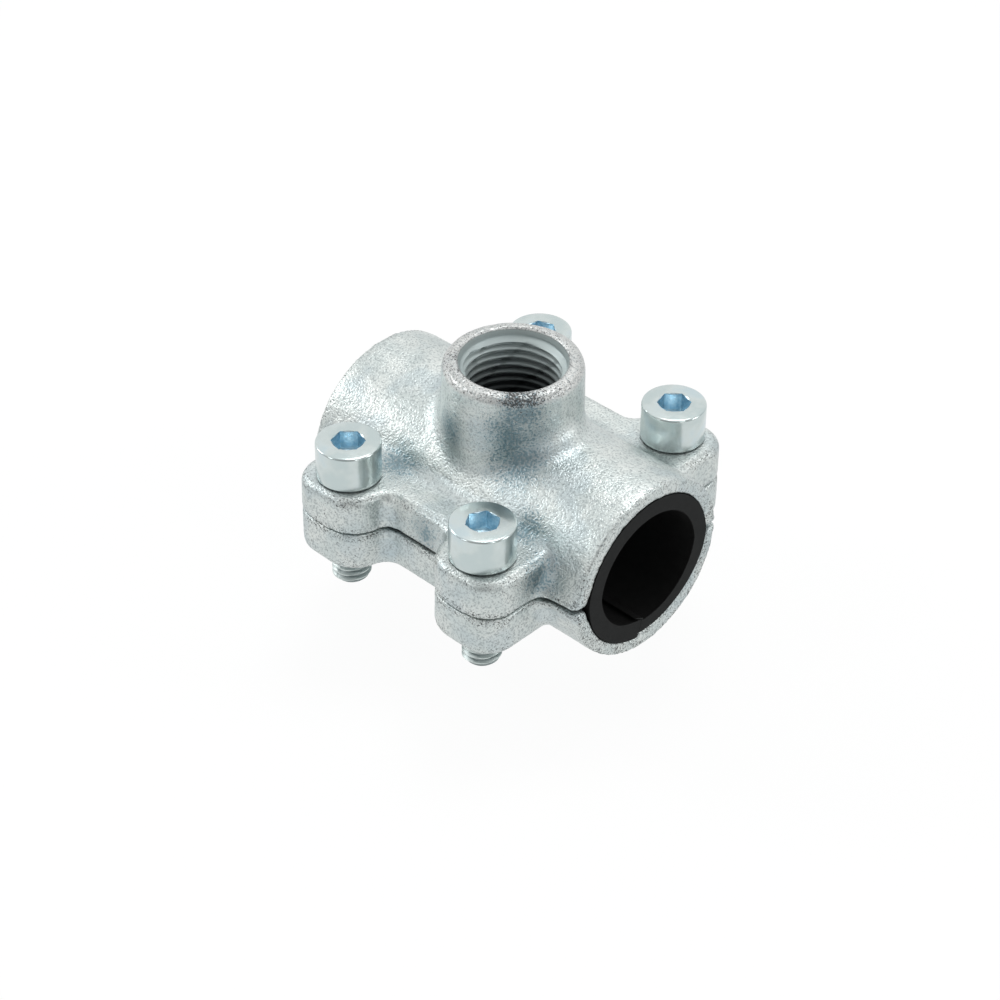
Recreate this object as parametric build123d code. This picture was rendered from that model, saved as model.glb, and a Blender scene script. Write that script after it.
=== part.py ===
from build123d import *
import math
import os

# Mechanical tee: two cast saddles bolted round a pipe, with a threaded outlet
# on the upper one and a split rubber sleeve that seals the tapped pipe.
#
# Frame, in millimetres: X runs along the pipe, Z up the outlet. The origin is
# where the two axes cross, on the plane where the saddles part. The tee is
# modelled closed by hand, with no pipe in it, so its ears touch.

# ---------------------------------------------------------------- pipe bore
PIPE_R = 13.45          # 26.9 mm steel pipe, nominal 3/4 inch
SLEEVE_WALL = 3.45      # rubber between pipe and saddle
BORE_R = PIPE_R + SLEEVE_WALL
SHELL_WALL = 3.1
SHELL_R = BORE_R + SHELL_WALL
HALF_LENGTH = 36.5
# Each saddle is a little less than half a pipe deep, so the ears stand 2 x SHY
# apart on the pipe and the screws can squeeze the rubber. Closed with no pipe,
# the two half bores overlap by that much and make an oval.
SHY = 1.17

# ------------------------------------------------------------------- screws
SCREW_X, SCREW_Y = 18.25, 27.07
THREAD_R = 4.0          # M8 x 25 socket cap screw
THREAD_LENGTH = 25.0
THREAD_CHAMFER = 1.0
HEAD_R, HEAD_HEIGHT = 6.5, 8.0
HEAD_CHAMFER = 0.55
KEY = 6.0               # hexagon key, across flats
KEY_DEPTH = 4.0
KEY_POINT = 1.2         # drill point under the socket
CLEARANCE_R = 4.5       # plain hole in the upper ear
TAPPED_R = 4.05         # hole in the lower ear, at the thread's major radius
# name: side along X, side along Y, how far the socket's hexagon is turned
SCREWS = {
    "cap_screw_front_left": (-1, -1, 44.0),
    "cap_screw_front_right": (1, -1, 2.0),
    "cap_screw_rear_left": (-1, 1, 20.0),
    "cap_screw_rear_right": (1, 1, 44.0),
}

# --------------------------------------------------------- ears and flanges
EAR_OUT = 7.9           # screw axis to the ear's outer wall, along Y
EAR_END = 9.3           # screw axis to the wall that faces the pipe's end
EAR_MID = 9.3           # screw axis to the wall that faces the outlet
EAR_END_CORNER, EAR_MID_CORNER = 6.6, 7.3
WAIST_Y = 26.2          # flange between two ears
WAIST_CORNER = 3.2      # inside corner from ear to flange
FLANGE_ROOT = 6.0       # concave root from flange into shell
ROOT_BITE = 0.15        # how far that root runs into the shell
LIP_Y = 21.0            # edge of the shell beyond the ears
LIP_HEIGHT = 1.0
FLARE_R = 6.0           # concave flare from shell to lip
RELIEF = 0.3            # only the ears touch: flanges and lips stand back
END_EDGE = 1.6          # rounding of the shell's end

UPPER_EAR, UPPER_EDGE, UPPER_EAR_ROOT = 8.4, 2.0, 2.5
LOWER_EAR, LOWER_EDGE, LOWER_EAR_ROOT = 9.4, 2.6, 3.0

# ------------------------------------------------------------------- outlet
OUTLET_TOP = 31.2
OUTLET_R = 13.9
OUTLET_DRAFT = 1.0      # degrees
OUTLET_FOOT = 5.0       # height inside the shell where the outlet starts
OUTLET_ROOT = 5.0       # blend from outlet into shell
OUTLET_EDGE = 2.0
OUTLET_MINOR_R = 9.316  # G 1/2 internal thread, minor radius
MOUTH_R = 10.7          # plain counterbore above the thread
MOUTH_DEPTH = 1.8

# ------------------------------------------------------------------- sleeve
LOWER_GAP = 0.3         # closed by hand, the lower saddle barely meets it
LAP_SLIT = 0.35         # stepped lap joint along the bottom of the sleeve
LAP_OUTER_Y, LAP_INNER_Y = -3.6, -1.2
PORT_R = 9.8


def along_x(radius, length, z=0.0):
    """Solid cylinder along the pipe, with its axis at height z."""
    return Pos(0, 0, z) * Rot(0, 90, 0) * Cylinder(radius, length)


def near(value, target, slack=0.05):
    return abs(value - target) < slack


def polar(centre, radius, angle):
    return (
        centre[0] + radius * math.cos(angle),
        centre[1] + radius * math.sin(angle),
    )


def ear_outline():
    """Plan of the four ears and the flanges between them.

    One quarter is drawn, then mirrored: a waist, an inside corner that rolls
    on to the ear, and the ear's two outside corners.
    """
    out_x, out_y = SCREW_X + EAR_END, SCREW_Y + EAR_OUT
    end = (out_x - EAR_END_CORNER, out_y - EAR_END_CORNER)
    mid = (SCREW_X - EAR_MID + EAR_MID_CORNER, out_y - EAR_MID_CORNER)
    rise = WAIST_Y + WAIST_CORNER - mid[1]
    reach = EAR_MID_CORNER + WAIST_CORNER
    waist = (mid[0] - math.sqrt(reach**2 - rise**2), WAIST_Y + WAIST_CORNER)
    turn = 90 - math.degrees(math.asin(rise / reach))
    with BuildSketch() as plan:
        with BuildLine():
            Polyline((waist[0], WAIST_Y), (0, WAIST_Y), (0, 0), (out_x, 0),
                     (out_x, end[1]))
            CenterArc(end, EAR_END_CORNER, 0, 90)
            Line((end[0], out_y), (mid[0], out_y))
            CenterArc(mid, EAR_MID_CORNER, 90, turn)
            CenterArc(waist, WAIST_CORNER, -90, turn)
        make_face()
        mirror(about=Plane.XZ)
        mirror(about=Plane.YZ)
    return plan.sketch


def flange_section(ear):
    """Section across the pipe: the ears' flat, rising in a concave root."""
    out = SHELL_R + FLANGE_ROOT - ROOT_BITE
    centre = (math.sqrt(out**2 - (ear + FLANGE_ROOT + SHY) ** 2),
              ear + FLANGE_ROOT)
    inward = math.atan2(-(centre[1] + SHY), -centre[0])
    top = polar(centre, FLANGE_ROOT, inward)
    halfway = polar(centre, FLANGE_ROOT, (inward - math.pi / 2) / 2)
    inner = (top[0] * 0.85, (top[1] + SHY) * 0.85 - SHY)
    wide = SCREW_Y + EAR_OUT + 5
    with BuildSketch(Plane.YZ) as section:
        with BuildLine():
            Polyline((0, 0), (wide, 0), (wide, ear), (centre[0], ear))
            ThreePointArc((centre[0], ear), halfway, top)
            Polyline(top, inner, (0, inner[1]), (0, 0))
        make_face()
        mirror(about=Plane.YZ)
    return section.sketch


def shell_section():
    """Section of the shell, filled: an arc that flares out into a lip."""
    lip = (LIP_Y, LIP_HEIGHT + SHY)
    out, far = SHELL_R + FLARE_R, math.hypot(*lip)
    swing = math.acos((out**2 + far**2 - FLARE_R**2) / (2 * out * far))
    centre = polar((0, 0), out, math.atan2(lip[1], lip[0]) + swing)
    to_shell = math.atan2(-centre[1], -centre[0])
    to_lip = math.atan2(lip[1] - centre[1], lip[0] - centre[0])
    join = polar(centre, FLARE_R, to_shell)
    halfway = polar(centre, FLARE_R, (to_shell + to_lip) / 2)

    def down(point):
        return (point[0], point[1] - SHY)

    with BuildSketch(Plane.YZ) as section:
        with BuildLine():
            ThreePointArc((0, SHELL_R - SHY),
                          down(polar((0, 0), SHELL_R, math.pi / 4)), down(join))
            ThreePointArc(down(join), down(halfway), down(lip))
            Polyline(down(lip), (LIP_Y, 0), (0, 0), (0, SHELL_R - SHY))
        make_face()
        mirror(about=Plane.YZ)
    return section.sketch


def flange_plate(ear, edge):
    """The ears and flanges, cut from their section by their plan, with the
    edge of the flat rounded all the way round and up the root at each end."""
    end_x = SCREW_X + EAR_END
    plate = extrude(ear_outline(), ear + 12) & extrude(
        flange_section(ear), end_x + 1, both=True
    )

    def on_flat(e):
        box = e.bounding_box()
        return near(box.min.Z, ear, 0.01) and near(box.max.Z, ear, 0.01)

    rim = [
        e
        for e in plate.edges()
        if (on_flat(e) and (abs(e.center().Y) > WAIST_Y - 0.5
                            or near(abs(e.center().X), end_x)))
        or (near(abs(e.center().X), end_x) and e.geom_type == GeomType.CIRCLE
            and e.center().Z > ear and abs(e.center().Y) > 12)
    ]
    return fillet(rim, edge)


def saddle_blank(ear, edge, ear_root):
    """One saddle over the half space z > 0, before any hole is made."""
    end_x = SCREW_X + EAR_END
    blank = extrude(shell_section(), HALF_LENGTH, both=True)
    blank += flange_plate(ear, edge)
    corner = [
        e
        for e in blank.edges()
        if -0.3 < abs(e.center().X) - end_x < 0.2
        and 14 < abs(e.center().Y) < LIP_Y + 0.01
        and e.center().Z > 0.2
    ]
    return fillet(corner, ear_root)


def open_saddle(saddle, bore_r, hole_r, ear):
    """Bore for the pipe, rounded ends, relieved flanges and screw holes."""
    saddle -= along_x(bore_r, 2 * HALF_LENGTH + 2, -SHY)
    ends = [
        e
        for e in saddle.edges()
        if near(abs(e.center().X), HALF_LENGTH) and e.center().Z > 0.2
        and not (e.geom_type == GeomType.CIRCLE and near(e.radius, bore_r))
    ]
    saddle = fillet(ends, END_EDGE)

    # flanges and lips stand back from the parting plane, the ears don't
    step = Pos(0, 0, RELIEF / 2)
    gap = 2 * (SCREW_X - EAR_MID)
    saddle -= step * Box(gap, 4 * SCREW_Y, RELIEF)
    for side in (-1, 1):
        reach = HALF_LENGTH + 1 - (SCREW_X + EAR_END)
        x = side * (SCREW_X + EAR_END + reach / 2)
        saddle -= step * Pos(x, 0, 0) * Box(reach, 4 * SCREW_Y, RELIEF)
        for other in (-1, 1):
            saddle -= Pos(side * SCREW_X, other * SCREW_Y, ear / 2) * Cylinder(
                hole_r, ear + 2
            )
    return saddle


def upper_saddle():
    """Saddle with the outlet: a drafted boss blended into the shell."""
    height = OUTLET_TOP - OUTLET_FOOT
    foot_r = OUTLET_R + height * math.tan(math.radians(OUTLET_DRAFT))
    body = saddle_blank(UPPER_EAR, UPPER_EDGE, UPPER_EAR_ROOT)
    body += Pos(0, 0, OUTLET_FOOT + height / 2) * Cone(foot_r, OUTLET_R, height)
    meet = [
        e
        for e in body.edges().filter_by(GeomType.BSPLINE)
        if all(
            OUTLET_R - 0.1 < math.hypot(p.X, p.Y) < foot_r + 0.1
            for p in (e @ 0.2, e @ 0.7)
        )
    ]
    body = fillet(meet, OUTLET_ROOT)
    rim = [
        e
        for e in body.edges().filter_by(GeomType.CIRCLE)
        if near(e.center().Z, OUTLET_TOP)
    ]
    body = fillet(rim, OUTLET_EDGE)
    body = open_saddle(body, BORE_R, CLEARANCE_R, UPPER_EAR)

    # plain mouth, 45 degree lead, then the thread's minor bore to the pipe
    lead = MOUTH_R - OUTLET_MINOR_R
    shoulder = OUTLET_TOP - MOUTH_DEPTH
    with BuildSketch(Plane.XZ) as bore:
        with BuildLine():
            Polyline((0, OUTLET_FOOT), (OUTLET_MINOR_R, OUTLET_FOOT),
                     (OUTLET_MINOR_R, shoulder - lead), (MOUTH_R, shoulder),
                     (MOUTH_R, OUTLET_TOP + 1), (0, OUTLET_TOP + 1), close=True)
        make_face()
    return body - revolve(bore.sketch, Axis.Z)


def lower_saddle():
    """Plain saddle with tapped ears, built like the upper and turned over."""
    body = saddle_blank(LOWER_EAR, LOWER_EDGE, LOWER_EAR_ROOT)
    body = open_saddle(body, BORE_R + LOWER_GAP, TAPPED_R, LOWER_EAR)
    return mirror(body, about=Plane.XY)


def seal_sleeve():
    """Rubber sleeve, pressed to the oval of the closed bore: full round, with
    a stepped lap joint at the bottom and a port under the outlet."""
    length = 2 * HALF_LENGTH
    half = Box(length, 4 * BORE_R, 2 * BORE_R)
    sleeve = None
    for side in (1, -1):
        ring = along_x(BORE_R, length, -side * SHY) - along_x(
            PIPE_R, length + 2, -side * SHY
        )
        part = ring & (Pos(0, 0, side * BORE_R) * half)
        sleeve = part if sleeve is None else sleeve + part
    outer, inner = SHY - BORE_R, SHY - PIPE_R
    middle = (outer + inner) / 2
    lap = LAP_INNER_Y - LAP_OUTER_Y
    sleeve -= Pos(0, LAP_OUTER_Y, (outer - 1 + middle) / 2) * Box(
        length + 2, LAP_SLIT, middle - outer + 1 + LAP_SLIT
    )
    sleeve -= Pos(0, LAP_OUTER_Y + lap / 2, middle) * Box(
        length + 2, lap + LAP_SLIT, LAP_SLIT
    )
    sleeve -= Pos(0, LAP_INNER_Y, (inner + 1 + middle) / 2) * Box(
        length + 2, LAP_SLIT, inner + 1 - middle + LAP_SLIT
    )
    return sleeve - Pos(0, 0, BORE_R / 2) * Cylinder(PORT_R, BORE_R)


def cap_screw(side_x, side_y, turn):
    """Socket cap screw with its head on the upper ear; its thread reaches
    through the tapped ear and stands out below."""
    tip = UPPER_EAR - THREAD_LENGTH
    head_top = UPPER_EAR + HEAD_HEIGHT
    with BuildSketch(Plane.XZ) as outline:
        with BuildLine():
            Polyline((0, tip), (THREAD_R - THREAD_CHAMFER, tip),
                     (THREAD_R, tip + THREAD_CHAMFER), (THREAD_R, UPPER_EAR),
                     (HEAD_R - 0.2, UPPER_EAR), (HEAD_R, UPPER_EAR + 0.2),
                     (HEAD_R, head_top - HEAD_CHAMFER),
                     (HEAD_R - HEAD_CHAMFER, head_top), (0, head_top),
                     close=True)
        make_face()
    screw = revolve(outline.sketch, Axis.Z)
    floor = head_top - KEY_DEPTH
    hexagon = RegularPolygon(KEY / 2, 6, major_radius=False, rotation=turn)
    screw -= extrude(Pos(0, 0, floor) * hexagon, KEY_DEPTH + 1)
    corner_r = KEY / math.sqrt(3)
    screw -= Pos(0, 0, floor - KEY_POINT / 2) * Cone(0, KEY / 2, KEY_POINT)
    screw -= Pos(0, 0, head_top - 0.15) * Cone(corner_r - 0.35, corner_r + 0.25, 0.6)
    return Pos(side_x * SCREW_X, side_y * SCREW_Y, 0) * screw


def main():
    os.makedirs("parts", exist_ok=True)
    nodes = {
        "upper_saddle": upper_saddle(),
        "lower_saddle": lower_saddle(),
        "seal_sleeve": seal_sleeve(),
    }
    for name, place in SCREWS.items():
        nodes[name] = cap_screw(*place)
    for name, part in nodes.items():
        export_step(part, f"parts/{name}.step")


if __name__ == "__main__":
    main()
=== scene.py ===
# %% [markdown]
# # A mechanical tee in zinc-plated iron
# This lesson dresses a pipe saddle: two rough castings, four socket cap screws
# and a split rubber sleeve. The solid model fixes every size and place, and
# Blender adds what a solid model leaves out: the cast skin, the threads, the
# soft edges of the rubber and the finishes. We load that model first and keep
# its box, so that at the end we can print it beside the dressed object's box.

# %% Load the solid model
import math

import bmesh
import bpy
import numpy as np
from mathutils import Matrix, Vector


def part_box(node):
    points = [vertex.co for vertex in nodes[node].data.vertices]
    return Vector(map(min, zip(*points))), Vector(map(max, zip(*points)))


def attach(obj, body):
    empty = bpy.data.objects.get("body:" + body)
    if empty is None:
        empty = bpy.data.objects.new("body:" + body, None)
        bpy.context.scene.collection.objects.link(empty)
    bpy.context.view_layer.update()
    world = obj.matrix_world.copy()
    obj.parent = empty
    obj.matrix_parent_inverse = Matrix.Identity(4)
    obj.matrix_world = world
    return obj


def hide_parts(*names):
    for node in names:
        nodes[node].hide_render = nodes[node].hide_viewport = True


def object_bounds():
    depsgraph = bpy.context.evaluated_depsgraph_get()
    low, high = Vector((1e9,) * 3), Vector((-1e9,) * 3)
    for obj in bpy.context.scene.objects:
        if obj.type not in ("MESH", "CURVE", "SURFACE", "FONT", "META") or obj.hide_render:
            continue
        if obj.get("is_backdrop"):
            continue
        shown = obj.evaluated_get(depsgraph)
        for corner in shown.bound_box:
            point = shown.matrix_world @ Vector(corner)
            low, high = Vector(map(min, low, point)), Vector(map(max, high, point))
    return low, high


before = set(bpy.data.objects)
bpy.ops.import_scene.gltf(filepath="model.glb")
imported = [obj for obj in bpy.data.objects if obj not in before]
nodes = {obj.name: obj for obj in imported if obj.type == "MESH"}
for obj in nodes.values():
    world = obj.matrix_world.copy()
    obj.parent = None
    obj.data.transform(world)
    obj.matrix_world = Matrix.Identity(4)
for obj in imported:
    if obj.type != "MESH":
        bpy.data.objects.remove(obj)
solid_box = [list(map(float, corner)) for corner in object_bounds()]
MM = 0.001
print("nodes", sorted(nodes))
print("solid box in mm", [[round(v / MM, 2) for v in c] for c in solid_box])

# %% [markdown]
# ## The camera
# A catalogue picture of a fitting is taken from a corner, a little above it,
# with a long lens so that the two ends look almost the same size. We place the
# camera first, because every later choice is judged through it.

# %% Camera
camera_place = Vector((303.182, -320.305, 332.778)) * MM
camera_target = Vector((-0.371, -3.015, -1.587)) * MM
look = (camera_target - camera_place).to_track_quat("-Z", "Y").to_euler()
look.rotate_axis("Z", math.radians(0.58))
bpy.ops.object.camera_add(location=camera_place, rotation=look)
camera = bpy.context.active_object
camera.data.sensor_width = 36
camera.data.lens = 99.78
camera.data.clip_start = 0.01
bpy.context.scene.camera = camera
print("camera", [round(v, 3) for v in camera.location])

# %% [markdown]
# ## Three small helpers
# Operators act on whatever is selected, so `only` leaves one object selected
# and active. `finish_with` adds a modifier and applies it at once. `cut` and
# `weld_on` are booleans: they take a tool away from a piece or add it on, and
# throw the tool away.

# %% Helpers for selecting and for modifiers
def only(piece):
    """Select one object and make it the active one."""
    bpy.ops.object.select_all(action="DESELECT")
    piece.select_set(True)
    bpy.context.view_layer.objects.active = piece
    return piece


def finish_with(piece, kind, **settings):
    """Add one modifier to a piece and apply it."""
    only(piece)
    modifier = piece.modifiers.new(kind.title(), kind)
    for key, value in settings.items():
        setattr(modifier, key, value)
    bpy.ops.object.modifier_apply(modifier=modifier.name)
    return piece


def boolean(piece, tool, operation):
    finish_with(piece, "BOOLEAN", operation=operation, object=tool, solver="EXACT")
    bpy.data.objects.remove(tool)
    return piece


def cut(piece, tool):
    return boolean(piece, tool, "DIFFERENCE")


def weld_on(piece, tool):
    return boolean(piece, tool, "UNION")


def settle(piece):
    """Put an object's place and turn into its mesh."""
    only(piece)
    bpy.ops.object.transform_apply(location=True, rotation=True, scale=True)
    return piece


# %% [markdown]
# ## Turned shapes and threads
# A plain turned shape and a thread are the same mesh: a cylinder cut into many
# rings, with the radius of each point read from a rule. For a plain shape the
# rule looks only at the height. For a thread it also looks at the angle, so
# that the ridge climbs one pitch in each turn. The cylinder starts as a
# primitive, the subdivide operator cuts its rings, and the rule moves them.

# %% A turned piece with a rule for its radius
def turned(name, rule, bottom, top, rings, sides=96):
    """A closed rod about the Z axis. All sizes are in millimetres."""
    bpy.ops.object.select_all(action="DESELECT")
    bpy.ops.mesh.primitive_cylinder_add(
        vertices=sides, radius=1.0, depth=2.0, end_fill_type="NGON"
    )
    rod = bpy.context.active_object
    rod.name = rod.data.name = name
    bpy.ops.object.mode_set(mode="EDIT")
    bpy.ops.mesh.select_all(action="DESELECT")
    shape = bmesh.from_edit_mesh(rod.data)
    for edge in shape.edges:
        low, high = (v.co.z for v in edge.verts)
        edge.select_set(abs(high - low) > 1)
    bmesh.update_edit_mesh(rod.data)
    bpy.ops.mesh.subdivide(number_cuts=rings - 1)
    bpy.ops.object.mode_set(mode="OBJECT")
    for vertex in rod.data.vertices:
        angle = math.atan2(vertex.co.y, vertex.co.x)
        height = bottom + (vertex.co.z + 1) / 2 * (top - bottom)
        radius = rule(height, angle)
        vertex.co = Vector(
            (radius * math.cos(angle), radius * math.sin(angle), height)
        ) * MM
    return rod


def ridge(height, angle, pitch):
    """0 in a thread's groove, 1 on its crest, with a small flat on both."""
    wave = math.cos(2 * math.pi * (height / pitch - angle / (2 * math.pi)))
    return 0.5 + 0.5 * max(-1.0, min(1.0, 1.3 * wave))


# %% [markdown]
# ## Drawn sections
# What runs straight along the pipe is drawn as one closed loop, filled, and
# extruded along X in short steps. The bore of the closed clamp is slightly
# oval: two arcs whose centres have moved together by the squeeze. `oval` gives
# a point on that shape, with 0 degrees at the rear and 90 at the top.

# %% Helpers for sections along the pipe
SHY, BORE, PIPE, HALF = 1.17, 16.9, 13.45, 36.5


def ramp(value, low, high):
    return max(0.0, min(1.0, (value - low) / (high - low)))


def oval(radius, degrees):
    a = math.radians(degrees)
    reach = math.sqrt(radius**2 - (SHY * math.cos(a)) ** 2)
    reach -= SHY * abs(math.sin(a))
    return reach * math.cos(a), reach * math.sin(a)


def arc(radius, start, stop, count):
    """Points on the oval. The radius may be a rule of the direction."""
    turn = [start + (stop - start) * i / (count - 1) for i in range(count)]
    return [oval(radius(d) if callable(radius) else radius, d) for d in turn]


def extruded(name, loop, start, stop, steps):
    bpy.ops.object.select_all(action="DESELECT")
    bpy.ops.mesh.primitive_circle_add(vertices=len(loop), radius=1.0)
    piece = bpy.context.active_object
    piece.name = piece.data.name = name
    for vertex, (y, z) in zip(piece.data.vertices, loop):
        vertex.co = (start * MM, y * MM, z * MM)
    bpy.ops.object.mode_set(mode="EDIT")
    bpy.ops.mesh.select_all(action="SELECT")
    bpy.ops.mesh.edge_face_add()
    for _ in range(steps):
        bpy.ops.mesh.extrude_region_move(
            TRANSFORM_OT_translate={"value": ((stop - start) / steps * MM, 0, 0)}
        )
    bpy.ops.mesh.select_all(action="SELECT")
    bpy.ops.mesh.normals_make_consistent(inside=False)
    bpy.ops.object.mode_set(mode="OBJECT")
    return piece


# %% [markdown]
# ## The cast skin
# Sand leaves a fine grain on a casting, rounds its edges a little and makes
# its flats wander by a tenth of a millimetre. The solid model has none of
# that. We copy it, merge its loose triangles, and rebuild the copy from small
# cubes of space, which softens every edge evenly. The corners where the two
# halves meet are worn softer still: a vertex group picks them and a smooth
# modifier wears them down. Then three displacements push the new skin about:
# a slow swell, a lumpy orange peel and a grain.

# %% Noise fields that displace a skin
def cloud(name, size, depth=1, contrast=1.0):
    texture = bpy.data.textures.new(name, "CLOUDS")
    texture.noise_scale = size * MM
    texture.noise_depth = depth
    texture.noise_basis = "IMPROVED_PERLIN"
    texture.contrast = contrast
    return texture


swell = cloud("swell", 7.0, 1, 1.3)
peel = cloud("orange_peel", 1.6, 1, 1.5)
grain = cloud("sand_grain", 0.8, 1, 1.6)


def cast_copy(node, name):
    """A merged copy of a solid, as an object of its own."""
    piece = bpy.data.objects.new(name, nodes[node].data.copy())
    piece.data.name = name
    piece.data.materials.clear()
    bpy.context.collection.objects.link(piece)
    only(piece)
    bpy.ops.object.mode_set(mode="EDIT")
    bpy.ops.mesh.select_all(action="SELECT")
    bpy.ops.mesh.remove_doubles(threshold=0.002 * MM)
    bpy.ops.object.mode_set(mode="OBJECT")
    return piece


def group(piece, name, weight):
    """A vertex group whose weight is a rule of the place in millimetres."""
    made = piece.vertex_groups.new(name=name)
    for vertex in piece.data.vertices:
        value = weight(*(vertex.co / MM))
        if value > 0:
            made.add([vertex.index], min(value, 1.0), "REPLACE")
    return name


# the end rings lie wholly within the shell's wall and length
RING_OUTER, RING_INNER = 19.88, 18.2
RING_NEAR, RING_FAR = 34.6, 36.42


def fill_ends(piece, turn):
    """Build the shell's two ends out to a fuller edge."""
    loop = arc(RING_OUTER, turn + 3, turn + 177, 60)
    loop += arc(RING_INNER, turn + 177, turn + 3, 60)
    for start, stop in ((-RING_FAR, -RING_NEAR), (RING_NEAR, RING_FAR)):
        weld_on(piece, extruded("end_ring", loop, start, stop, 1))


SKIN_CELL = 0.46
# how far each field pushes the skin
SKIN_DEPTHS = ((swell, 0.16), (peel, 0.07), (grain, 0.06))
# how far each casting's face stands back where the halves meet
PARTING_GAP = 0.07


def cast_skin(piece):
    """Rebuild a piece from small cells and give it the sand's skin."""
    finish_with(piece, "REMESH", mode="VOXEL", voxel_size=SKIN_CELL * MM)
    finish_with(piece, "SMOOTH", factor=0.5, iterations=3)
    parting = group(piece, "parting", lambda x, y, z: ramp(1.5 - abs(z), 0, 0.5))
    finish_with(piece, "SMOOTH", factor=0.5, iterations=8, vertex_group=parting)
    lips = group(
        piece, "lips",
        lambda x, y, z: ramp(abs(x), 30, 33) * ramp(abs(y), 14, 16)
        * ramp(4.0 - abs(z), 0, 2.0),
    )
    finish_with(piece, "SMOOTH", factor=0.5, iterations=26, vertex_group=lips)
    for field, strength in SKIN_DEPTHS:
        finish_with(
            piece, "DISPLACE", texture=field, texture_coords="LOCAL",
            strength=strength * MM, mid_level=0.6,
        )
    # two castings never meet perfectly: leave a hair's breadth between them
    middle = piece.bound_box[0][2] + piece.bound_box[6][2]
    away = PARTING_GAP * MM * math.copysign(1, middle)
    for vertex in piece.data.vertices:
        vertex.co.z += away * ramp(0.8 - abs(vertex.co.z / MM), 0, 0.5)
    print(piece.name, "has", len(piece.data.polygons), "faces")
    return piece


# %% [markdown]
# ## Upper saddle
# The outlet's mouth and thread are machined after casting, so they must stay
# crisp. The hole is first plugged, so that the cast skin closes over it, and
# then cut again with one turned tool: a rounded rim, a plain mouth, a lead
# and a G 1/2 thread, 14 threads to the inch.

# %% Upper saddle
OUTLET_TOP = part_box("upper_saddle")[1].z / MM
THREAD_CREST, THREAD_ROOT, GAS_PITCH = 9.316, 10.478, 1.814
MOUTH_RADIUS, RIM_ROUND, MOUTH_DEPTH = 10.62, 0.9, 1.9
PLUG_RADIUS, PLUG_FOOT = 11.8, 15.9


def outlet_tool(height, angle):
    below = OUTLET_TOP - height
    rim = max(0.0, RIM_ROUND - max(below, 0.0))
    mouth = MOUTH_RADIUS + RIM_ROUND - math.sqrt(RIM_ROUND**2 - rim**2)
    lead = MOUTH_RADIUS - 0.28 * (below - RIM_ROUND)
    if below < RIM_ROUND:
        return mouth
    if below > MOUTH_DEPTH:
        lead -= (below - MOUTH_DEPTH) * 0.9
    thread = THREAD_CREST + (THREAD_ROOT - THREAD_CREST) * ridge(
        height, angle, GAS_PITCH
    )
    return max(lead, thread)


upper = cast_copy("upper_saddle", "upper_saddle_casting")
plug = turned("plug", lambda z, a: PLUG_RADIUS, PLUG_FOOT, OUTLET_TOP - 0.05, 1)
weld_on(upper, plug)
fill_ends(upper, 0)
cast_skin(upper)
cut(upper, turned("outlet_tool", outlet_tool, 6.0, OUTLET_TOP + 0.2, 210, 112))
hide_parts("upper_saddle")
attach(upper, "upper")

# %% [markdown]
# ## Lower saddle
# The lower saddle is the same casting without the outlet. Its four holes are
# tapped, so they are cut again after the skin is made, a hair wider than the
# screws, with a small countersink at both ends as a tap needs. Its bore sits a
# little towards the front, so its rear wall is thicker next to the rubber.

# %% Lower saddle
SCREW_X, SCREW_Y = 18.25, 27.07
ears = [(sx * SCREW_X, sy * SCREW_Y) for sx in (-1, 1) for sy in (-1, 1)]
EAR_BOTTOM = -9.4
TAP_RADIUS, TAP_SINK = 4.15, 0.45
LINING_RADIUS, LINING_THICK = 17.2, 1.02


def tapped_hole(height, angle):
    """A plain hole, wider by a small countersink at both of its ends."""
    deep = min(-height, height - EAR_BOTTOM)
    return TAP_RADIUS + max(0.0, TAP_SINK - max(deep, -0.4))


def lining(degrees):
    """The inner face of the rear wall, thickest near the sleeve's joint."""
    thick = ramp(degrees, 261.2, 261.9) * ramp(348 - degrees, 0, 45)
    return LINING_RADIUS - LINING_THICK * thick


lower = cast_copy("lower_saddle", "lower_saddle_casting")
loop = arc(lining, 261.0, 347.0, 120) + arc(RING_INNER, 347.0, 261.0, 60)
weld_on(lower, extruded("thick_wall", loop, -RING_FAR, RING_FAR, 1))
fill_ends(lower, 180)
cast_skin(lower)
for x, y in ears:
    tool = turned("tapped_hole", tapped_hole, EAR_BOTTOM - 1, 1, 120, 48)
    tool.location = (x * MM, y * MM, 0)
    cut(lower, settle(tool))
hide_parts("lower_saddle")
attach(lower, "lower")

# %% [markdown]
# ## Socket cap screws
# One M8 screw is made and copied. The head is a cylinder with a rounded top
# edge, the socket is cut with a six-sided tool that ends in a drill point, and
# the thread runs the whole shank, because the clamp can open far enough to
# show it. Each copy is turned, as a hand left it, and dropped into its hole.

# %% One screw
SEAT, HEAD, KEY, PITCH = 8.4, 8.0, 6.0, 1.25
CREST, ROOT, TIP = 3.97, 3.30, 8.4 - 25.0
HEAD_RADIUS, HEAD_ROUND, HEAD_FOOT = 6.5, 0.55, 0.3
TIP_RADIUS, KEY_DEPTH, LEAD_RADIUS = 2.95, 4, 3.22


def shank_rule(height, angle):
    thread = ROOT + (CREST - ROOT) * ridge(height, angle, PITCH)
    chamfer = TIP_RADIUS + height - TIP
    return min(thread, chamfer) if height > TIP else TIP_RADIUS


def head_rule(height, angle):
    """A cylinder, rounded at its top edge and bevelled at its foot."""
    top, edge = SEAT + HEAD - height, HEAD_ROUND
    if top < edge:
        bulge = math.sqrt(max(0.0, edge**2 - (edge - top) ** 2))
        return HEAD_RADIUS - edge + bulge
    return HEAD_RADIUS - max(0.0, HEAD_FOOT - (height - SEAT))


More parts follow.
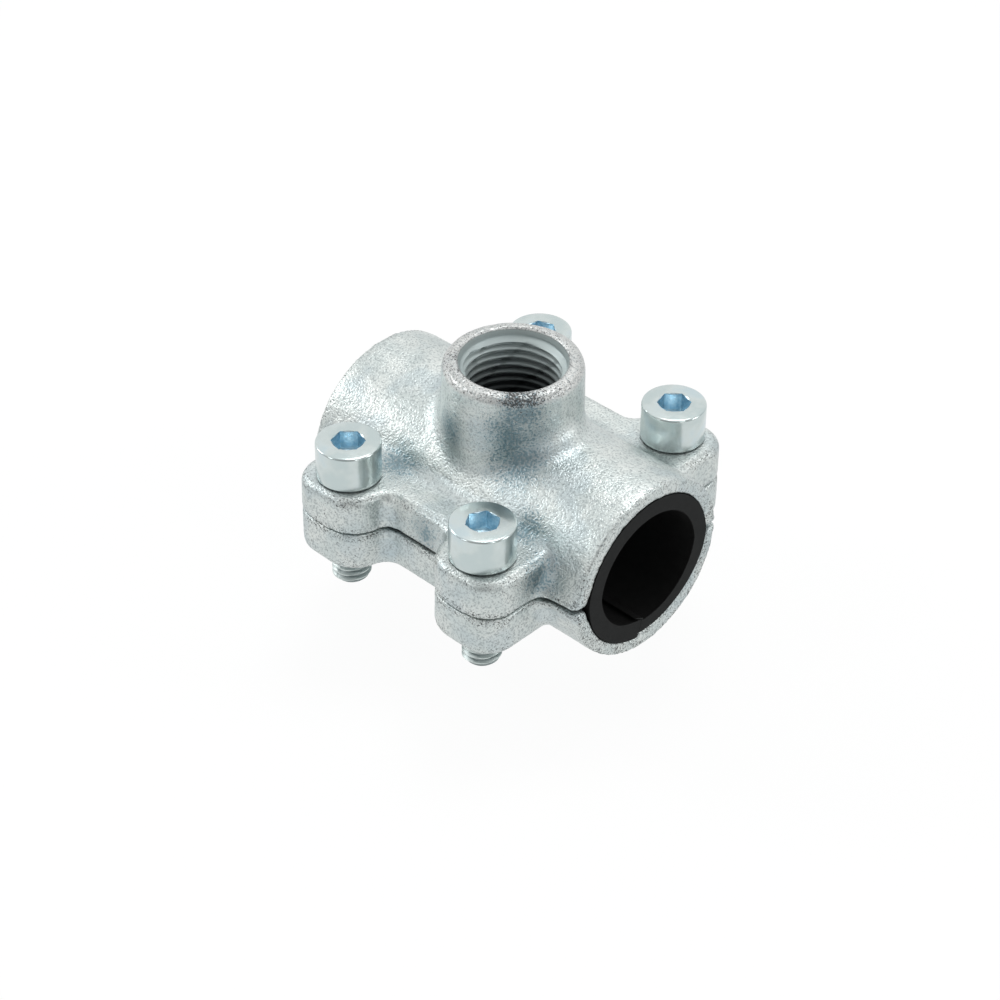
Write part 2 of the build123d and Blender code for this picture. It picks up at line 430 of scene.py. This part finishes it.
def socket_rule(height, angle):
    """A hexagon below the mouth, and a round 45 degree lead at the mouth."""
    side = math.pi / 3
    across = (angle % side) - side / 2
    flat = KEY / 2 / math.cos(across)
    lead = LEAD_RADIUS + height - (SEAT + HEAD)
    return max(flat, lead)


screw = turned("cap_screw", shank_rule, TIP, SEAT + 1, 320, 56)
head = turned("head", head_rule, SEAT, SEAT + HEAD, 96, 128)
socket_floor = SEAT + HEAD - KEY_DEPTH
socket = turned("socket", socket_rule, socket_floor, SEAT + HEAD + 0.6, 46, 96)
cut(head, socket)
point = turned(
    "drill_point", lambda z, a: max(0.02, 2.6 + (z - socket_floor) * 1.9),
    socket_floor - 1.3, socket_floor + 0.05, 6, 48,
)
cut(head, point)
weld_on(screw, head)
# two masks for the finish: the socket's blue film and the thread's shade
in_socket, in_groove = [], []
for vertex in screw.data.vertices:
    x, y, z = vertex.co / MM
    radius = math.hypot(x, y)
    in_socket.append(float(radius < 3.6 and 10 < z < SEAT + HEAD - 0.06))
    in_groove.append(ramp(CREST - radius, 0.1, CREST - ROOT) * (z < SEAT - 0.2))
for name, values in (("socket", in_socket), ("groove", in_groove)):
    layer = screw.data.attributes.new(name, "FLOAT", "POINT")
    layer.data.foreach_set("value", values)
print("one screw has", len(screw.data.polygons), "faces")

# %% Four screws in their holes
turns = {
    "cap_screw_front_left": (-1, -1, 44.0), "cap_screw_front_right": (1, -1, 2.0),
    "cap_screw_rear_left": (-1, 1, 20.0), "cap_screw_rear_right": (1, 1, 44.0),
}
screws = []
for node, (sx, sy, turn) in turns.items():
    copy = screw.copy()
    copy.data = screw.data.copy()
    copy.name = copy.data.name = node + "_threaded"
    bpy.context.collection.objects.link(copy)
    copy.rotation_euler = (0, 0, math.radians(turn))
    copy.location = (sx * SCREW_X * MM, sy * SCREW_Y * MM, 0)
    settle(copy)
    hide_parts(node)
    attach(copy, "screw_" + node.split("screw_")[1])
    screws.append(copy)
bpy.data.objects.remove(screw)

# %% [markdown]
# ## Rubber sleeve
# The sleeve is a moulded strip bent round into a ring, so its two ends meet in
# a slanted cut at the bottom. On the outside one end stands proud of the other,
# and on the inside a thin feather of rubber lifts off the joint.

# %% Sleeve
PORT_RADIUS = 9.8


def outside(degrees):
    inset = 0.70 * ramp(-12.0 - degrees, 0, 45)
    snug = 0.25 * ramp(degrees, 186, 200)
    return BORE - 0.03 - inset + snug


def inside(degrees):
    return PIPE - 0.42 * ramp(degrees, 228, 250)


nose = [oval(17.1, 260.3), oval(16.9, 261.1), oval(16.5, 261.5)]
slit = [oval(16.0, 261.6), (-1.36, -12.05)]
feather = [(-1.0, -11.72), (-2.2, -11.1), (-3.35, -10.62), (-2.3, -11.3),
           (-1.26, -12.0)]
section = arc(outside, -98.3, 259.6, 221) + nose + slit
section += arc(inside, 260.0, -94.6, 161) + feather
sleeve = extruded("rubber_sleeve", section, -HALF, HALF, 40)
cut(sleeve, turned("port_tool", lambda z, a: PORT_RADIUS, 2.0, 20.0, 1, 72))
print("sleeve has", len(sleeve.data.polygons), "faces")
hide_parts("seal_sleeve")
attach(sleeve, "upper")

# %% [markdown]
# ## Writing finishes as sums
# A finish is a web of nodes, and most of it is arithmetic. `Wire` wraps a
# socket so that Python's own signs build the Math nodes, and `Finish.node`
# makes any other node from its type, its settings and its inputs.

# %% Helpers for finishes
class Wire:
    """A number on its way through a material."""

    def __init__(self, finish, socket):
        self.finish, self.socket = finish, socket

    def maths(self, operation, *others):
        node = self.finish.node(
            "ShaderNodeMath", {"operation": operation},
            dict(enumerate((self,) + others)),
        )
        return Wire(self.finish, node.outputs[0])

    def __add__(self, other):
        return self.maths("ADD", other)

    def __sub__(self, other):
        return self.maths("SUBTRACT", other)

    def __mul__(self, other):
        return self.maths("MULTIPLY", other)

    def __rsub__(self, other):
        node = self.finish.node(
            "ShaderNodeMath", {"operation": "SUBTRACT"}, {0: other, 1: self}
        )
        return Wire(self.finish, node.outputs[0])

    __radd__, __rmul__ = __add__, __mul__

    def between(self, low, high):
        """0 below low, 1 above high, and smooth from one to the other."""
        node = self.finish.node(
            "ShaderNodeMapRange", {"interpolation_type": "SMOOTHSTEP"},
            {"Value": self, "From Min": low, "From Max": high},
        )
        return Wire(self.finish, node.outputs["Result"])


class Finish:
    """A material with one Principled shader, built up in code."""

    def __init__(self, name):
        self.material = bpy.data.materials.new(name)
        self.material.use_nodes = True
        self.tree = self.material.node_tree
        self.shader = self.tree.nodes["Principled BSDF"]
        place = self.node("ShaderNodeTexCoord")
        self.place = place.outputs["Object"]

    def node(self, kind, settings=None, inputs=None):
        node = self.tree.nodes.new(kind)
        for key, value in (settings or {}).items():
            setattr(node, key, value)
        for key, value in (inputs or {}).items():
            self.feed(node.inputs[key], value)
        return node

    def feed(self, socket, value):
        if isinstance(value, Wire):
            value = value.socket
        if isinstance(value, bpy.types.NodeSocket):
            self.tree.links.new(value, socket)
        else:
            socket.default_value = value

    def set(self, **inputs):
        for key, value in inputs.items():
            self.feed(self.shader.inputs[key.replace("_", " ")], value)

    def noise(self, size, detail=2.0, roughness=0.5, shift=0.0):
        """Soft noise whose lumps are about that many millimetres wide."""
        where = self.node(
            "ShaderNodeVectorMath", {"operation": "ADD"},
            {0: self.place, 1: (shift, shift * 0.7, shift * 1.3)},
        )
        node = self.node(
            "ShaderNodeTexNoise", {},
            {"Vector": where.outputs[0], "Scale": 1 / (size * MM),
             "Detail": detail, "Roughness": roughness},
        )
        return Wire(self, node.outputs["Fac"])

    def attribute(self, name):
        node = self.node("ShaderNodeAttribute", {"attribute_name": name})
        return Wire(self, node.outputs["Fac"])

    def mix(self, amount, first, second):
        """A colour that goes from the first to the second."""
        node = self.node("ShaderNodeMix", {"data_type": "RGBA"})
        self.feed(node.inputs["Factor"], amount)
        for socket, value in ((node.inputs[6], first), (node.inputs[7], second)):
            if isinstance(value, tuple):
                value = value + (1.0,)
            self.feed(socket, value)
        return node.outputs[2]

    def bump(self, height, depth, strength=1.0):
        node = self.node(
            "ShaderNodeBump", {},
            {"Height": height, "Distance": depth * MM, "Strength": strength},
        )
        self.feed(self.shader.inputs["Normal"], node.outputs["Normal"])


def wear(piece, finish):
    """Give a piece its finish."""
    piece.data.materials.clear()
    piece.data.materials.append(finish.material)


# %% [markdown]
# ## Where the edges are
# Plating is thin and dirty on sharp edges, and bright and blue in hollows. We
# measure this once on the mesh: at each point, how far its neighbours' normals
# open or close. The result is stored on the mesh as an attribute that a
# material can read, 0.5 on a flat, more on an edge and less in a hollow.

# %% Measure edges and hollows
def mark_edges(piece, spread=5):
    mesh = piece.data
    count = len(mesh.vertices)
    co = np.empty(count * 3)
    no = np.empty(count * 3)
    mesh.vertices.foreach_get("co", co)
    mesh.vertex_normals.foreach_get("vector", no)
    co, no = co.reshape(-1, 3) / MM, no.reshape(-1, 3)
    pair = np.empty(len(mesh.edges) * 2, int)
    mesh.edges.foreach_get("vertices", pair)
    a, b = pair.reshape(-1, 2).T
    number = np.bincount(np.concatenate((a, b)), minlength=count).clip(1)

    def average(values):
        total = np.zeros_like(values)
        np.add.at(total, a, values[b])
        np.add.at(total, b, values[a])
        return total / (number[:, None] if values.ndim > 1 else number)

    soft = no.copy()
    for _ in range(2):
        soft = average(soft)
    gap = co[b] - co[a]
    bend = ((soft[b] - soft[a]) * gap).sum(1) / (gap**2).sum(1).clip(1e-4)
    value = np.zeros(count)
    np.add.at(value, a, bend)
    np.add.at(value, b, bend)
    value /= number
    for _ in range(spread):
        value = average(value)
    edge = (0.5 + value).clip(0, 1)
    wall = 1 - no[:, 2] ** 2
    side = wall * ((9.5 - co[:, 2]) / 3).clip(0, 1)
    for name, numbers in (("edge", edge), ("side", side), ("wall", wall)):
        layer = mesh.attributes.new(name, "FLOAT", "POINT")
        layer.data.foreach_set("value", numbers.astype(np.float32))
    print(piece.name, "edge", np.percentile(edge, (2, 25, 50, 75, 90, 98)).round(3))


for piece in (upper, lower):
    mark_edges(piece)

# %% [markdown]
# ## Plated casting
# Zinc over cast iron is a metal that scatters: pale silver grey with a blue
# cast, rough at the scale of the sand, with bright specks where a facet of the
# grain faces the light. Dark pinholes show where the plating is thin.

# %% Finish of the castings
cast = Finish("plated_casting_skin")
tone = cast.noise(6.0, 3.0, 0.6)
cloudy = cast.noise(9.0, 2.0, 0.5, 0.31)
sand = cast.noise(0.44, 1.5, 0.5)
lumps = cast.noise(1.5, 1.0, 0.5, 0.11)
speck = cast.noise(0.36, 3.0, 0.75, 0.53)
edge = cast.attribute("edge")
side = cast.attribute("side")
edges = edge.between(0.56, 0.80)
hollow = 1.0 - edge.between(0.36, 0.48)


def near(finish, place, size):
    """1 at a place, fading to 0 that many millimetres away."""
    node = finish.node(
        "ShaderNodeVectorMath", {"operation": "DISTANCE"},
        {0: finish.place, 1: tuple(v * MM for v in place)},
    )
    return 1.0 - Wire(finish, node.outputs["Value"]) * (1 / (size * MM))


# patches of painted dark reflection, darker and bluer, where the metal mirrors darker
# things round it
painted_dark_reflection = None
for place, size in (
    ((10.9, -8.9, 27.5), 7), ((9.7, -10.2, 22.5), 9), ((10.5, -9.5, 17.5), 8.5),
    ((-4.5, -13.4, 19.5), 5.5), ((26.8, -20.8, 5), 6), ((-13.0, -18.5, 8.5), 7),
    ((20.5, -16.5, 9.5), 5.5), ((13.6, -5.0, 15), 5), ((2, -27, 4), 5),
):
    here = near(cast, place, size)
    painted_dark_reflection = here if painted_dark_reflection is None else painted_dark_reflection.maths("MAXIMUM", here)
painted_dark_reflection = (painted_dark_reflection + (sand - 0.5) * 2.4 + (tone - 0.5) * 0.8).between(0.12, 0.95)

place = cast.node("ShaderNodeSeparateXYZ", {}, {0: cast.place})
x, y, z = (Wire(cast, place.outputs[i]) * (1 / MM) for i in range(3))
# the machined hole has no sand grain, and painted shade makes it darker deep down and in
# grooves
across = x * x + y * y
inside = (1.0 - across.between(113.5, 118.0)) * z.between(5.0, 8.0)
depth = inside * (1.0 - z.between(17.5, 29.0))
groove = inside * across.between(92.0, 107.0) * (1.0 - z.between(27.4, 28.4))
skin = 1.0 - inside
rim = z.between(29.0, 30.2) * skin
parting = (1.0 - z.maths("ABSOLUTE").between(0.10, 0.26)) * cast.attribute("wall")

# each layer goes over the one before: metal, tints, painted dark reflections, grain,
# pinholes
silver = cast.mix(tone.between(0.3, 0.7), (0.60, 0.66, 0.65), (0.72, 0.76, 0.74))
tinted = cast.mix(
    cloudy.between(0.48, 0.66) * 0.35 + hollow * 0.3, silver, (0.42, 0.52, 0.57)
)
tinted = cast.mix(rim * 0.6, tinted, (0.63, 0.62, 0.61))
tinted = cast.mix(inside * 0.8, tinted, (0.50, 0.58, 0.58))
# the painted dark reflection, a dark blue grey over the metal
with_dark_reflection = cast.mix(painted_dark_reflection * 0.85 * skin, tinted, (0.14, 0.23, 0.27))
grained = cast.mix(
    (0.60 - sand).between(0.05, 0.30) * 0.6 * skin, with_dark_reflection, (0.27, 0.31, 0.32)
)
under_rim = near(cast, (11.0, -8.8, 30.3), 5.0).between(0.0, 0.6)
cluster = (tone - 0.5) * 0.14 + rim * ((cloudy - 0.5) * 0.3 + 0.03) + under_rim * 0.09
pits = (speck + cluster + edges * 0.085 + side * 0.035).between(0.655, 0.705) * skin
pitted = cast.mix(pits * 0.85, grained, (0.07, 0.07, 0.07))
# painted shade deep in the bore and in its grooves, and the dark parting joint
bore_shade_and_joint = (depth * 0.92 + groove * 0.35).maths("MAXIMUM", parting * 0.9)
cast.set(
    Base_Color=cast.mix(bore_shade_and_joint, pitted, (0.020, 0.026, 0.028)),
    Metallic=0.92 - inside * 0.42,
    Roughness=0.40 + (tone - 0.5) * 0.16 + pits * 0.3 + inside * 0.12,
)
cast.bump((sand + lumps * 0.2 + (1.0 - pits) * 0.1) * skin, 0.13)
wear(upper, cast)
wear(lower, cast)

# %% [markdown]
# ## Plated screws
# The screws are machined and then plated, so they mirror softly. A thin blue
# passivation lies over the zinc and pools in the socket.

# %% Finish of the screws
bright = Finish("bright_plated_steel")
film = bright.noise(5.0, 2.0, 0.5)
scuff = bright.noise(0.6, 3.0, 0.6, 0.2)
socket_blue = bright.attribute("socket")
place = bright.node("ShaderNodeSeparateXYZ", {}, {0: bright.place})
level = Wire(bright, place.outputs[2]) * (1 / MM)
shank = 1.0 - level.between(7.5, SEAT)
# painted shadow in the line where the head sits on the ear
head_contact_shadow = level.between(8.0, SEAT) * (1.0 - level.between(8.55, 8.85))
steel = bright.mix(film.between(0.35, 0.65), (0.54, 0.62, 0.62), (0.66, 0.71, 0.69))
steel = bright.mix(film.between(0.45, 0.75) * 0.45, steel, (0.44, 0.60, 0.68))
# the painted contact shadow is near black
steel = bright.mix(head_contact_shadow * 0.85, steel, (0.03, 0.045, 0.05))
steel = bright.mix(shank, steel, (0.60, 0.66, 0.65))
# painted shade in the roots of the screw's thread
thread_root_shade = bright.attribute("groove") * 0.75
steel = bright.mix(thread_root_shade, steel, (0.14, 0.18, 0.19))
passive = bright.mix(scuff.between(0.3, 0.7), (0.46, 0.66, 0.77), (0.72, 0.86, 0.93))
bright.set(
    Base_Color=bright.mix(socket_blue, steel, passive), Metallic=1.0,
    Roughness=0.22 + (scuff - 0.5) * 0.16 + shank * 0.25 + socket_blue * 0.1,
)
bright.bump(scuff, 0.012, 0.6)
for piece in screws:
    wear(piece, bright)

# %% [markdown]
# ## Rubber
# Black moulded rubber is matt, a little grey where its cut end catches light,
# with a fine bloom and dust.

# %% Finish of the sleeve
rubber = Finish("black_rubber")
bloom = rubber.noise(2.0, 3.0, 0.6)
pores = rubber.noise(0.3, 2.0, 0.6)
place = rubber.node("ShaderNodeSeparateXYZ", {}, {0: rubber.place})
along = Wire(rubber, place.outputs[0]).maths("ABSOLUTE") * (1 / MM)
cut_face = along.between(HALF - 0.2, HALF - 0.05)
dust = bloom.between(0.3, 0.7)
black = rubber.mix(dust, (0.005, 0.005, 0.005), (0.008, 0.008, 0.008))
face = rubber.mix(dust, (0.013, 0.014, 0.014), (0.019, 0.020, 0.020))
rubber.set(
    Base_Color=rubber.mix(cut_face, black, face),
    Roughness=0.75 + (bloom - 0.5) * 0.15, Specular_IOR_Level=0.16,
)
rubber.bump(pores, 0.05, 0.4)
wear(sleeve, rubber)

# %% [markdown]
# ## Smooth and sharp
# Round surfaces are shaded smooth, and a real edge stays sharp: the angle
# between two faces decides.

# %% Shading
CAST_LIMIT, SHARP_LIMIT = 62, 38
for piece in (upper, lower, sleeve, *screws):
    only(piece)
    limit = CAST_LIMIT if piece in (upper, lower) else SHARP_LIMIT
    bpy.ops.object.shade_smooth_by_angle(angle=math.radians(limit))

# %% [markdown]
# ## Studio
# A pale floor that stays white to the camera and keeps a faint shadow. The
# lower saddle drops 14 mm when the screws are backed out, so the floor lies
# that much below it and the whole travel stays in sight. Zinc shows what
# stands round it, so what the metal sees matters more than what falls on it.
# Rays that leave the metal are shown the same pale floor as the camera, and a
# room that is bright behind the object and dimmer in front. Five small lamps
# add the highlights, kept low so that no pale face turns plain white.

# %% Floor
CLAMP_TRAVEL, FLOOR_GAP = 14.0, 0.2
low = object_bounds()[0]
floor_level = low.z - (CLAMP_TRAVEL + FLOOR_GAP) * MM
bpy.ops.object.select_all(action="DESELECT")
bpy.ops.mesh.primitive_plane_add(size=6, location=(0, 0, floor_level))
floor = bpy.context.active_object
floor.name = "studio_floor"
floor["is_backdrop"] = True
paper = Finish("white_floor")
paper.set(Base_Color=(0.84, 0.85, 0.85, 1.0), Roughness=0.9)


def ray_kinds(finish):
    """1 for a ray from the camera, and 1 for one that metal or glass sent on."""
    path = finish.node("ShaderNodeLightPath")
    camera, glossy, through = (
        Wire(finish, path.outputs[name])
        for name in ("Is Camera Ray", "Is Glossy Ray", "Is Transmission Ray")
    )
    return camera, glossy.maths("MAXIMUM", through)


glow = paper.node("ShaderNodeEmission", {}, {"Strength": 1.03})
to_camera, reflected = ray_kinds(paper)
blend = paper.node(
    "ShaderNodeMixShader", {},
    {0: to_camera * 0.9 + reflected * 0.75,
     1: paper.shader.outputs[0], 2: glow.outputs[0]},
)
paper.feed(paper.tree.nodes["Material Output"].inputs["Surface"], blend.outputs[0])
floor.data.materials.append(paper.material)

# %% World
world = bpy.data.worlds.new("pale_studio")
bpy.context.scene.world = world
world.use_nodes = True


class Sky(Finish):
    """The same node helpers, for the world's own tree."""

    def __init__(self, world):
        self.tree = world.node_tree
        self.shader = self.tree.nodes["Background"]
        self.place = self.node("ShaderNodeTexCoord").outputs["Generated"]


sky = Sky(world)
axes = sky.node("ShaderNodeSeparateXYZ", {}, {0: sky.place})
sx, sy, sz = (Wire(sky, axes.outputs[i]) for i in range(3))
behind = (sy * 0.6 - sx * 0.6 + sz * 0.5).between(-0.2, 0.75)
room = 0.24 + behind * 0.50  # the light that falls on the object
backdrop = 0.45 + behind * 0.55  # what its metal mirrors
to_camera, reflected = ray_kinds(sky)
unseen = (1.0 - to_camera) * (1.0 - reflected)
sky.set(
    Color=(1.0, 1.0, 1.0, 1.0),
    Strength=to_camera + reflected * backdrop + unseen * room,
)


# %% Lamps
def soft_light(name, place, size, power):
    """A square area lamp that faces the object."""
    place = Vector(place)
    aim = (-place).to_track_quat("-Z", "Y").to_euler()
    bpy.ops.object.light_add(type="AREA", location=place, rotation=aim)
    lamp = bpy.context.active_object
    lamp.name = name
    lamp.data.size = size
    lamp.data.energy = power
    return lamp


soft_light("top_light", (-0.1, 0.25, 0.9), 0.35, 2.0)
soft_light("left_light", (-0.9, -0.45, 0.5), 0.3, 2.2)
soft_light("right_light", (0.85, 0.5, 0.45), 0.3, 1.6)
soft_light("front_left_light", (-0.25, -0.9, 0.55), 0.2, 0.8)
soft_light("front_right_light", (0.95, -0.25, 0.55), 0.2, 0.8)

scene = bpy.context.scene
scene.view_settings.view_transform = "Standard"

# %% [markdown]
# ## Sizes at the end
# We print the box of the solid model and of the dressed object, which should be the same.
# The dressed object must fill the same box as the solid one.

# %% Sizes and finish
dressed_box = [list(map(float, corner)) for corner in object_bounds()]
for name, box in (("solid", solid_box), ("dressed", dressed_box)):
    print(name, [[round(v / MM, 2) for v in corner] for corner in box])
